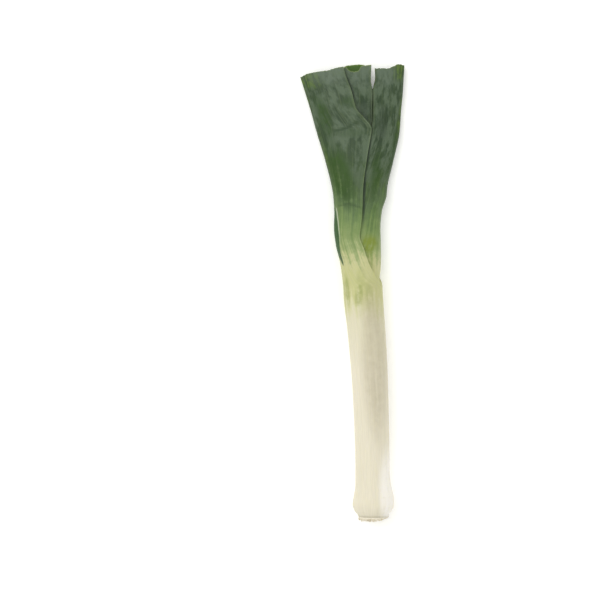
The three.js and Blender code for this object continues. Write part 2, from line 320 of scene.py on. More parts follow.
@dataclass(frozen=True)
class LeafSkin:
    """Leek leaf: a waxy cuticle over parallel veins, from blanched sheath to blade.

    The wax gives a dull bluish bloom on the green blade and a soft satin shine on the white sheath. Some
    patch
    colours are painted light: painted shade in gaps, folds, creases and on the stem's right half, and painted
    highlights on the bulb and beside the fold.
    """

    name: str
    stops: tuple[tuple[float, str], ...]
    bloom: str
    bloom_share: float
    inside: str
    edge: str
    cut: str
    roughness: float
    keel: str = "#2f5226"
    # painted highlight colour for the pale seam beside the tongue
    seam: str = "#c3cbb2"
    rubbed: str = "#2f4c13"
    sunny: str = "#5a7230"
    olive: str = "#7b8a38"
    # painted shade colour for the stem's right half
    dull: str = "#b3aa8f"
    # painted highlight colour for the bulb's right side
    blanched: str = "#f7f3ec"
    frosted: str = "#62705f"
    # painted shade colour for gaps between leaves and folds
    deep: str = "#1d2c20"
    # painted shade colour along the creases
    crease: str = "#2a3f22"

    VEIN_MM = 1.1
    FINE_VEIN_MM = 0.55
    MOTTLE_MM = 5.0
    BLOOM_MM = 7.0
    TURNING, DARKENING, LEAFY = (0.10, 0.34), (0.8, 1.0), (0.60, 0.95)
    PALE_VEINS, FINE_VEINS, WAXY, FROSTY = (0.50, 0.66), (0.32, 0.62), (0.43, 0.56), (0.35, 0.6)
    STREAK_SHIFT, MOTTLE_SHIFT = 0.30, 0.14
    SMOOTHER, ROUGHER = 0.07, 0.10
    IOR, SPECULAR = 1.42, 0.33
    SCATTER_SHARE, SCATTER_COLOUR, SCATTER_MM = 0.12, (1.0, 0.9, 0.45), 1.6
    VEIN_RELIEF, VEIN_DEPTH_MM = 0.5, 0.22

    def build(self) -> bpy.types.Material:
        """Make the material.

        The colour comes from a ramp over how green the leaf is at each place, which the mesh carries as an
        attribute. Noise drawn out along the veins streaks it. The UV map is in millimetres across and along.

        Returns:
            The material.
        """
        tree = ShaderTree(self.name)
        green = tree.attribute("green")
        streak = tree.drawn_out(self.VEIN_MM * 2.4, 60.0, 3.0)
        veins = tree.drawn_out(self.VEIN_MM, 38.0, 1.0)
        fine = tree.drawn_out(self.FINE_VEIN_MM, 14.0, 2.0)
        mottle = tree.noise(self.MOTTLE_MM, Detail=5.0, Roughness=0.62)
        patches = tree.drawn_out(self.BLOOM_MM, 2.2 * self.BLOOM_MM, 4.0)

        streaked = tree.math("MULTIPLY", tree.math("SUBTRACT", streak, 0.5), self.STREAK_SHIFT)
        mottled = tree.math("MULTIPLY", tree.math("SUBTRACT", mottle, 0.5), self.MOTTLE_SHIFT)
        turning = tree.math("MULTIPLY", tree.ranged(green, *self.TURNING, 0.0, 1.0),
                            tree.ranged(green, *self.DARKENING, 1.0, 0.4))
        shift = tree.math("MULTIPLY", tree.math("ADD", streaked, mottled), turning)
        colour = tree.ramp(tree.math("ADD", green, shift, True), self.stops)

        leafy = tree.ranged(green, *self.LEAFY, 0.0, 1.0)
        pale_veins = tree.math("MULTIPLY", tree.ranged(veins, *self.PALE_VEINS, 0.0, 1.0),
                               tree.ranged(leafy, 0.0, 1.0, 0.05, 0.14))
        colour = tree.mix(pale_veins, colour, linear(self.edge))
        depth = tree.ranged(leafy, 0.0, 1.0, 0.96, 0.84)
        colour = tree.mix(1.0, colour, tree.ranged(fine, *self.FINE_VEINS, depth, 1.03), "MULTIPLY")

        broken = tree.math("ADD", tree.math("MULTIPLY", mottle, 0.55), tree.math("MULTIPLY", streak, 0.45))
        # rubbed, sunny and olive are the leaf's own colour; dull is painted shade and blanched a painted
        # highlight
        for name, hue, low, high in (("rubbed", self.rubbed, 0.40, 0.52), ("sunny", self.sunny, 0.44, 0.55),
                                     ("olive", self.olive, 0.36, 0.56), ("dull", self.dull, 0.05, 0.80),
                                     ("blanched", self.blanched, 0.20, 0.50)):
            patch_share = tree.math("MULTIPLY", tree.attribute(name), tree.ranged(broken, low, high, 0.10, 1.0))
            colour = tree.mix(patch_share, colour, linear(hue))
        patch_share = tree.math("ADD", tree.attribute("rubbed"), tree.attribute("sunny"))
        waxy = tree.math("MULTIPLY", leafy, tree.math("SUBTRACT", 1.0, patch_share, True))
        waxy = tree.math("MULTIPLY", waxy, tree.ranged(patches, *self.WAXY, 0.10, self.bloom_share))
        colour = tree.mix(waxy, colour, linear(self.bloom))
        frosty = tree.math("MULTIPLY", tree.attribute("frosted"),
                           tree.ranged(patches, *self.FROSTY, 0.3, 1.0))
        colour = tree.mix(frosty, colour, linear(self.frosted))

        # inner faces take the inside colour; for the outer skin's leaves it is painted shade
        colour = tree.mix(tree.math("MULTIPLY", tree.attribute("inside"), leafy), colour, linear(self.inside))
        # deep is painted shade in gaps and folds, the seam a painted highlight and crease painted shade in
        # the creases
        for name, hue in (("deep", self.deep), ("keel", self.keel), ("seam", self.seam),
                          ("crease", self.crease), ("margin", self.edge), ("cut", self.cut)):
            colour = tree.mix(tree.attribute(name), colour, linear(hue))
        tree.set("Base Color", colour)
        smooth, rough = self.roughness - self.SMOOTHER, self.roughness + self.ROUGHER
        tree.set("Roughness", tree.ranged(patches, 0.3, 0.7, smooth, rough))
        tree.set("IOR", self.IOR)
        tree.set("Specular IOR Level", self.SPECULAR)
        tree.set("Subsurface Weight", self.SCATTER_SHARE)
        tree.set("Subsurface Radius", self.SCATTER_COLOUR)
        tree.set("Subsurface Scale", self.SCATTER_MM * MM)
        raised = tree.math("ADD", veins, tree.math("MULTIPLY", fine, 0.5))
        tree.relief(raised, self.VEIN_RELIEF, self.VEIN_DEPTH_MM)
        return tree.material


@dataclass(frozen=True)
class RootTissue:
    """Dried stem base and cut roots: corky, fibrous and dull, pale tan with soil on the brown ends."""

    name: str = "dried_root_tissue"
    pale: str = "#f1ebda"
    tan: str = "#e0d6bd"
    brown: str = "#94825a"
    roughness: float = 0.85

    FIBRE_MM = 2.1

    def build(self) -> bpy.types.Material:
        """Make the material: noise mottles pale, tan and brown, browner towards the attribute root_tip.

        Returns:
            The material.
        """
        tree = ShaderTree(self.name)
        noise = tree.noise(self.FIBRE_MM, Detail=5.0, Roughness=0.65)
        place = tree.math("ADD", tree.math("MULTIPLY", noise, 0.45), tree.attribute("root_tip"), True)
        tree.set("Base Color", tree.ramp(place, ((0.12, self.pale), (0.45, self.tan), (0.95, self.brown))))
        tree.set("Roughness", self.roughness)
        tree.relief(noise, 0.7, 0.35)
        return tree.material


@dataclass(frozen=True)
class BackdropPaper:
    """Matt white backdrop paper: rolled and uncoated, with a faint tooth, and lit softly from behind."""

    name: str = "backdrop_paper"
    white: str = "#fbfbf9"
    tooth: str = "#f8f8f5"
    roughness: float = 0.95
    glow: float = 0.22

    TOOTH_MM = 2.0

    def build(self) -> bpy.types.Material:
        """Make the material, a fine noise between two whites.

        Returns:
            The material.
        """
        tree = ShaderTree(self.name)
        white = tree.ramp(tree.noise(self.TOOTH_MM), ((0.3, self.white), (0.7, self.tooth)))
        tree.set("Base Color", white)
        tree.set("Emission Color", white)
        tree.set("Emission Strength", self.glow)
        tree.set("Roughness", self.roughness)
        return tree.material


BLADE_STOPS = (
    (0.00, "#e0d9c3"), (0.23, "#d7d2b5"), (0.28, "#cdcb9f"), (0.33, "#c2c18b"), (0.39, "#bcbd84"),
    (0.45, "#c0bf8d"), (0.48, "#b9b987"), (0.51, "#9aa770"), (0.56, "#82935b"), (0.62, "#73894f"),
    (0.70, "#5a7341"), (0.79, "#42592a"), (0.90, "#2d441f"), (1.00, "#2c4026"),
)
INNER_STOPS = (
    (0.00, "#ebe5cf"), (0.16, "#e6e0b4"), (0.30, "#d3d48c"), (0.45, "#b4c06c"), (0.60, "#8da150"),
    (0.75, "#648040"), (0.88, "#3c5829"), (1.00, "#2c4026"),
)
# The outer skin's dark inside colour is painted shade, for inner faces seen down the gaps between leaves.
OUTER_SKIN = LeafSkin("waxy_outer_leek_leaf", BLADE_STOPS, bloom="#56664f", bloom_share=0.95,
                      inside="#2b3f22", edge="#8c9e6a", cut="#71874a", roughness=0.46)
INNER_SKIN = LeafSkin("waxy_inner_leek_leaf", INNER_STOPS, bloom="#56664f", bloom_share=0.90,
                      inside="#466a1c", edge="#8c9e6a", cut="#93a650", roughness=0.42)


def make_mesh(name: str, points: np.ndarray, faces: np.ndarray,
              material: bpy.types.Material) -> bpy.types.Object:
    """Make an object at the origin from points in millimetres.

    Args:
        name: Name of the object and its mesh.
        points: Array of n by 3 millimetres.
        faces: Array of m by 4 point numbers.
        material: The finish.

    Returns:
        The object, linked to the scene and smooth shaded.
    """
    mesh = bpy.data.meshes.new(name)
    mesh.from_pydata((points * MM).tolist(), [], faces.tolist())
    mesh.polygons.foreach_set("use_smooth", np.ones(len(mesh.polygons), bool))
    mesh.materials.append(material)
    mesh.update()
    piece = bpy.data.objects.new(name, mesh)
    bpy.context.scene.collection.objects.link(piece)
    return piece


def quad_grid(number: np.ndarray) -> np.ndarray:
    """Return the quads between the rows and columns of a grid of point numbers."""
    return np.stack([number[:-1, :-1], number[1:, :-1], number[1:, 1:], number[:-1, 1:]], -1).reshape(-1, 4)


def quad_strip(first: np.ndarray, second: np.ndarray) -> np.ndarray:
    """Return the quads between two equally long lines of point numbers."""
    return np.stack([first[:-1], second[:-1], second[1:], first[1:]], -1)


def set_attribute(piece: bpy.types.Object, name: str, values: np.ndarray) -> None:
    """Store one number for each point of the piece under name."""
    layer = piece.data.attributes.new(name, "FLOAT", "POINT")
    layer.data.foreach_set("value", values.astype(np.float32).ravel())


@dataclass(frozen=True)
class Patch:
    """An oval patch on a leaf, soft at its rim: what it shows, its centre and half sizes in mm."""

    wear: WearAndPaintedLight
    x: float
    y: float
    half_width: float
    half_length: float
    strength: float = 1.0
    slant: float = 0.0

    def spread(self, points: np.ndarray) -> np.ndarray:
        """Work out the patch's strength: full in the middle, falling off along a smooth step.

        Args:
            points: The leaf's points in mm.

        Returns:
            The strength at each point.
        """
        y = (points[..., 1] - self.y) / self.half_length
        x = (points[..., 0] - self.x - self.slant * (points[..., 1] - self.y)) / self.half_width
        return self.strength * (1.0 - smooth_step(np.hypot(x, y), 0.35, 1.0))


@dataclass(frozen=True)
class Crease:
    """A shallow crease pressed into a leaf and painted darker along it as shade: a thin line through points,
    x and y in mm.
    """

    points: tuple[tuple[float, float], ...]
    half_width: float = 0.8
    strength: float = 0.4

    def spread(self, points: np.ndarray) -> np.ndarray:
        """Work out how strongly the crease shows: a narrow band that fades at both ends.

        Args:
            points: The leaf's points in mm.

        Returns:
            The strength at each point.
        """
        xs, ys = (np.array(column, float) for column in zip(*self.points))
        line = SmoothCurve(xs, ys)
        x = points[..., 0]
        ends = smooth_step(x, xs[0] - 1.0, xs[0] + 3.0) * (1.0 - smooth_step(x, xs[-1] - 3.0, xs[-1] + 1.0))
        away = np.abs(points[..., 1] - line(x)) / self.half_width
        return self.strength * ends * (1.0 - smooth_step(away, 0.3, 1.6))


@dataclass
class Leaf:
    """One leek leaf: a closed sheath that opens at its mouth and goes on as a folded blade.

    side is where the fold lies, spread the share of the oval's half width that the leaf reaches at its end.
    margins are the free edges above the mouth: y, then x on the upper and on the lower half. The cuts are the
    trimmed ends of both halves: x, y. pallor moves the green further up the leaf, curl lifts the upper margin
    and skirt lets the outer face reach down over the root plate's rim, all in mm.
    """

    name: str
    layer: int
    side: Side
    spread: float
    mouth: float
    margins: tuple[tuple[float, float, float], ...]
    upper_cut: tuple[tuple[float, float], ...]
    lower_cut: tuple[tuple[float, float], ...]
    skin: LeafSkin
    slot: str
    columns: int
    sheath_rows: int
    blade_rows: int
    pallor: float = 0.0
    rib_depth: float = 0.14
    ragged: float = 0.45
    patches: tuple[Patch, ...] = ()
    creases: tuple[Crease, ...] = ()
    tongue: bool = False
    curl: float = 0.0
    skirt: float = 0.0

    UV_NAME = "leaf_lines"
    HALF_GIRTH_MM = 41.0
    RIBS_PER_HALF = 11
    CREASE_DEPTH, SEAM_DEPTH = 0.5, 0.35
    CLEARANCE, RIB_SHARE, DENT_SHARE, DENT_WANDER = 0.03, 0.7, 0.6, 37.0
    LOWER_RAGGED, HALVES_APART = 0.4, 200.0
    MARGIN_THINNING, THIN_FROM, THIN_LENGTH = 0.35, 0.86, 25.0
    CURL_FROM, CURL_START, CURL_FULL = 0.72, 112.0, 140.0
    EDGE_START, EDGE_FULL, EDGE_LENGTH, EDGE_STRENGTH = 0.965, 0.998, 20.0, 0.14
    CUT_BAND, CUT_STRENGTH, INSIDE_STRENGTH = 0.35, 0.5, 0.85
    STREAK_LENGTH, INNER_PALLOR = 7.0, 8.0
    TONGUE_WAVER, TONGUE_FADE_START, TONGUE_FADE_END, TONGUE_STRENGTH = 1.5, 0.5, 4.5, 0.95
    # the seam is a pale painted highlight beside the tongue, and is also pressed in as a shallow groove
    SEAM_AWAY, SEAM_START, SEAM_FULL, SEAM_STRENGTH = 0.45, 30.0, 50.0, 0.6
    BULB_TOP, MOUTH_SHARE = -140.0, 0.8
    MOUTH_ROWS = 16
    BULB_ROWS = 22
    TRIM_ROWS = 26
    GREEN_START, GREEN_FULL = -62.0, 118.0
    TONGUE_MIDDLE = SmoothCurve((18, 22, 27, 35, 42, 50, 58), (2.3, 1.7, 1.2, 1.4, 1.6, 1.4, 0.8))
    TONGUE_HALF = SmoothCurve((17, 22, 27, 35, 42, 50, 58, 66), (0.0, 0.7, 1.1, 1.5, 1.9, 1.6, 1.0, 0.0))

    def __post_init__(self) -> None:
        """Work out the margin and cut curves."""
        oval = self.oval(np.array(self.mouth))
        closed_x = float(oval["centre_x"] - self.side.value * oval["half_width"])
        places = [self.mouth] + [row[0] for row in self.margins]
        self.upper_margin = SmoothCurve(places, [closed_x] + [row[1] for row in self.margins])
        self.lower_margin = SmoothCurve(places, [closed_x] + [row[2] for row in self.margins])
        self.upper_edge = SmoothCurve(*zip(*self.upper_cut))
        self.lower_edge = SmoothCurve(*zip(*self.lower_cut))
        self.raggedness = SeededWaves(100 + self.layer, 9.0, 1.6)
        self.nicks = SeededWaves(400 + self.layer, 3.2, 1.5, 4)
        self.dents = SeededWaves(200 + self.layer, 70.0, 12.0)
        self.streaks = SeededWaves(300 + self.layer, 1.1, 0.06)

    def oval(self, y: np.ndarray) -> dict[str, np.ndarray]:
        """Work out the leaf's oval.

        Args:
            y: Places along the leek.

        Returns:
            Centre, half axes and wall at each place, all in mm.
        """
        half_width = (OVAL_RIGHT(y) - OVAL_LEFT(y)) / 2.0
        nested = 1.0 - LAYER_SHARE * self.layer
        share = nested + (self.spread - nested) * smooth_step(y, SPREAD_START, SPREAD_END)
        return {
            "centre_x": (OVAL_RIGHT(y) + OVAL_LEFT(y)) / 2.0,
            "centre_z": OVAL_HEIGHT(y),
            "half_width": share * half_width,
            "half_height": nested * OVAL_HALF_HEIGHT(y),
            "wall": LAYER_SHARE * OVAL_HALF_HEIGHT(y) - LEAF_GAP,
        }

    def wrap(self, y: np.ndarray, upper: np.ndarray) -> np.ndarray:
        """Work out how far the leaf wraps round its oval from the fold.

        Args:
            y: Places along the leek.
            upper: True on the upper half.

        Returns:
            The angle at each place, half a turn where the leaf is closed.
        """
        oval = self.oval(y)
        edge = np.where(upper, self.upper_margin(y), self.lower_margin(y))
        reach = self.side.value * (edge - oval["centre_x"]) / oval["half_width"]
        return np.where(y <= self.mouth, math.pi, np.arccos(np.clip(reach, -1.0, 1.0)))

    def rows(self) -> np.ndarray:
        """Space the mesh rows along Y, closer at the bulb, the mouth and the cut.

        Returns:
            The rows' places in mm.
        """
        start = self.oval(np.array(OVAL[0, 0]))
        foot = PLATE_CREST_Y - PLATE_SLOPE * float(start["half_width"] - start["wall"]) + LEAF_SEAT
        opened = self.mouth + self.MOUTH_SHARE * (self.margins[0][0] - self.mouth)
        parts = [
            np.linspace(foot, self.BULB_TOP, self.BULB_ROWS, endpoint=False),
            np.linspace(self.BULB_TOP, self.mouth, self.sheath_rows, endpoint=False),
            np.linspace(self.mouth, opened, self.MOUTH_ROWS, endpoint=False),
            np.linspace(opened, TRIM_START, self.blade_rows, endpoint=False),
            np.linspace(TRIM_START, TRIM_END, self.TRIM_ROWS),
        ]
        return np.concatenate(parts)

    def surface(self, rows: np.ndarray, u: np.ndarray, inner: bool) -> np.ndarray:
        """Work out one face of the leaf.

        A point lies on the leaf's oval at an angle of u times the wrap. The inner face is set in by the wall,
        and the outer one by shallow ribs and dents. Near the cut, rows are stretched to the ragged cut edge.

        Args:
            rows: Places along Y.
            u: From the lower margin at -1 over the fold at 0 to the upper margin at 1.
            inner: True for the inner face.

        Returns:
            The points, rows by columns by 3, in mm.
        """
        row, across = np.meshgrid(rows, u, indexing="ij")
        upper = across >= 0.0
        end = self.oval(np.full_like(row, TRIM_END))
        end_angle = np.abs(across) * self.wrap(np.full_like(row, TRIM_END), upper)
        end_x = end["centre_x"] + self.side.value * end["half_width"] * np.cos(end_angle)
        cut_y = np.where(upper, self.upper_edge(end_x), self.lower_edge(end_x))
        torn = 0.5 + 0.5 * self.raggedness(end_x + self.HALVES_APART * upper)
        torn = torn + np.maximum(self.nicks(end_x), 0.0)
        cut_y = cut_y - self.ragged * np.where(upper, 1.0, self.LOWER_RAGGED) * torn
        stretch = (cut_y - TRIM_START) / (TRIM_END - TRIM_START)
        y = np.where(row > TRIM_START, TRIM_START + (row - TRIM_START) * stretch, row)
        oval = self.oval(y)
        angle = across * self.wrap(y, upper)
        ribs = 0.5 - 0.5 * np.cos(2.0 * math.pi * self.RIBS_PER_HALF * across)
        dents = 0.5 + 0.5 * self.dents(y + self.DENT_WANDER * np.sin(math.pi * across))
        sunk = self.CLEARANCE + self.rib_depth * (self.RIB_SHARE * ribs + self.DENT_SHARE * dents)
        thinned = (smooth_step(np.abs(across), self.THIN_FROM, 1.0)
                   * smooth_step(y, self.mouth, self.mouth + self.THIN_LENGTH))
        inset = oval["wall"] * (1.0 - self.MARGIN_THINNING * thinned) if inner else sunk
        x, z = self.on_oval(oval, angle, inset)
        if not inner:
            x, z = self.on_oval(oval, angle, inset + self.pressed(np.stack([x, y, z], -1), upper))
        z = z + blade_shift(x, y)
        z = z + (self.curl * upper * smooth_step(across, self.CURL_FROM, 1.0)
                 * smooth_step(y, self.CURL_START, self.CURL_FULL))
        if not inner:
            y[0] -= self.skirt
        return np.stack([x, y, np.maximum(z, 0.0)], -1)

    def on_oval(self, oval: dict[str, np.ndarray], angle: np.ndarray,
                inset: np.ndarray) -> tuple[np.ndarray, np.ndarray]:
        """Return x and z of the points at an angle round the oval, set in from it."""
        x = oval["centre_x"] + self.side.value * (oval["half_width"] - inset) * np.cos(angle)
        return x, oval["centre_z"] + (oval["half_height"] - inset) * np.sin(angle)

    def crease_lines(self, points: np.ndarray) -> np.ndarray:
        """Return how strongly all creases together show at each point."""
        return sum((line.spread(points) for line in self.creases), np.zeros(points.shape[:-1]))

    def pressed(self, points: np.ndarray, upper: np.ndarray) -> np.ndarray:
        """Return how deep the creases and the folded middle's seam are pressed into the outer face, in mm.

        Args:
            points: The outer face's points in mm.
            upper: True on the upper half.

        Returns:
            The depth at each point.
        """
        keel, seam = self.keel(points)
        return self.CREASE_DEPTH * self.crease_lines(points) * upper + self.SEAM_DEPTH * (seam + 0.5 * keel)

    def faces(self, row_count: int, mouth_row: int) -> np.ndarray:
        """Join both faces, the ends and the free margins into quads that point outwards.

        Args:
            row_count: Number of mesh rows.
            mouth_row: The row where the tube ends and the blade begins.

        Returns:
            Quads of point numbers, with the last column still apart from the first one.
        """
        stride = self.columns + 1
        number = np.arange(2 * row_count * stride).reshape(2, row_count, stride)
        outer, inner = number

        parts = [
            quad_grid(outer),
            quad_grid(inner)[:, ::-1],
            quad_strip(inner[0], outer[0]),
            quad_strip(outer[-1], inner[-1]),
            quad_strip(outer[mouth_row:, 0], inner[mouth_row:, 0])[:, ::-1],
            quad_strip(inner[mouth_row:, -1], outer[mouth_row:, -1])[:, ::-1],
        ]
        quads = np.concatenate(parts)
        return quads if self.side is Side.RIGHT else quads[:, ::-1]

    def greenness(self, points: np.ndarray, across: np.ndarray, inner: bool) -> np.ndarray:
        """Work out how green the leaf is: a streaked rise along Y, paler deeper inside.

        Args:
            points: One face's points in mm.
            across: Their place from margin to margin.
            inner: True for the inner face.

        Returns:
            The green at each point, 0 white to 1 dark.
        """
        depth = self.pallor + (self.INNER_PALLOR if inner else 0.0)
        along = points[..., 1] + self.STREAK_LENGTH * self.streaks(across) - depth
        return np.clip((along - self.GREEN_START) / (self.GREEN_FULL - self.GREEN_START), 0.0, 1.0)

    def coats(self, rows: np.ndarray, across: np.ndarray, points: np.ndarray) -> dict[str, np.ndarray]:
        """Work out the numbers from 0 to 1 that the leaf's finish reads at each point.

        Args:
            rows: Places of the mesh rows along Y.
            across: Each point's place from margin to margin.
            points: The points of the outer and the inner face, in mm.

        Returns:
            The numbers by attribute name.
        """
        shape = points.shape[:3]
        blade = smooth_step(points[..., 1], self.mouth, self.mouth + self.EDGE_LENGTH)
        open_edge = smooth_step(np.abs(across), self.EDGE_START, self.EDGE_FULL)
        to_cut = np.clip((rows - TRIM_END + self.CUT_BAND) / self.CUT_BAND, 0.0, 1.0)[None, :, None]
        green = [self.greenness(face, across, inner) for face, inner in zip(points, (False, True))]
        outside = np.array([1.0, 0.0])[:, None, None]
        values = {
            "green": np.stack(green),
            "inside": self.INSIDE_STRENGTH * (1.0 - outside),
            "margin": self.EDGE_STRENGTH * blade * open_edge,
            "cut": self.CUT_STRENGTH * to_cut,
            # painted shade along the creases on the outer face
            "crease": self.crease_lines(points) * (across >= 0.0) * outside,
        }
        values["keel"], values["seam"] = self.keel(points)
        # patches of wear and of the leaf's own colour, and of painted shade and painted highlight
        for wear in WearAndPaintedLight:
            found = [patch.spread(points) for patch in self.patches if patch.wear is wear]
            values[wear.value] = np.clip(sum(found, np.zeros(shape)), 0.0, 1.0) * outside
        return {name: np.broadcast_to(value, shape) for name, value in values.items()}

    def build(self) -> bpy.types.Object:
        """Make the leaf's mesh with its attributes and leaf lines, and dress it.

        Returns:
            The finished piece.
        """
        rows = self.rows()
        mouth_row = int(np.argmin(np.abs(rows - self.mouth)))
        u = np.linspace(-1.0, 1.0, self.columns + 1)
        outer = self.surface(rows, u, inner=False)
        inner = self.surface(rows, u, inner=True)
        points = np.stack([outer, inner])
        across = np.broadcast_to(u, outer.shape[:2])
        quads = self.faces(len(rows), mouth_row)

        shape = points.shape[:3]
        joined = np.arange(np.prod(shape)).reshape(shape)
        joined[:, :mouth_row + 1, -1] = joined[:, :mouth_row + 1, 0]
        kept, renumbered = np.unique(joined, return_inverse=True)
        renumbered = renumbered.reshape(-1)
        material = bpy.data.materials.get(self.skin.name) or self.skin.build()
        piece = make_mesh(self.name, points.reshape(-1, 3)[kept], renumbered[quads], material)

        girth = np.broadcast_to(across * self.HALF_GIRTH_MM, shape)
        lines = np.stack([girth, points[..., 1]], -1).reshape(-1, 2)
        layer = piece.data.uv_layers.new(name=self.UV_NAME)
        layer.uv.foreach_set("vector", lines[quads.ravel()].astype(np.float32).ravel())

        for name, value in self.coats(rows, across, points).items():
            set_attribute(piece, name, value.reshape(-1)[kept])
        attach(piece, "root")
        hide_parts(self.name)
        LOG.info("%s: %d points", self.name, len(kept))
        return piece

    def keel(self, points: np.ndarray) -> tuple[np.ndarray, np.ndarray]:
        """Show the leaf's folded middle as a dark green tongue down the neck with a painted highlight, a pale
        seam, beside it.

        TONGUE_MIDDLE is how far the tongue's middle lies inside the fold and TONGUE_HALF its half width. The
        seam is under a millimetre wide. Both fade out within a few millimetres below the fold.

        Args:
            points: The leaf's points in mm.

        Returns:
            How strongly the tongue and the seam show at each point.
        """
        if not self.tongue:
            return np.zeros(points.shape[:-1]), np.zeros(points.shape[:-1])
        y = points[..., 1]
        inwards = points[..., 0] - OVAL_LEFT(y)
        half = self.TONGUE_HALF(y + self.TONGUE_WAVER * self.raggedness(3.0 * y))
        middle = self.TONGUE_MIDDLE(y)
        below = OVAL_HEIGHT(y) - points[..., 2] + self.TONGUE_WAVER * self.raggedness(2.0 * y)
        faded = smooth_step(below, self.TONGUE_FADE_START, self.TONGUE_FADE_END)
        shown = smooth_step(half, 0.1, 0.6) * (1.0 - faded)
        dark = shown * (1.0 - smooth_step(np.abs(inwards - middle), half - 0.3, half + 0.25))
        # painted highlight: the pale seam beside the tongue
        beside = 1.0 - smooth_step(np.abs(inwards - middle - half - self.SEAM_AWAY), 0.15, 0.6)
        pale = self.SEAM_STRENGTH * beside * shown * smooth_step(y, self.SEAM_START, self.SEAM_FULL)
        return self.TONGUE_STRENGTH * dark, pale


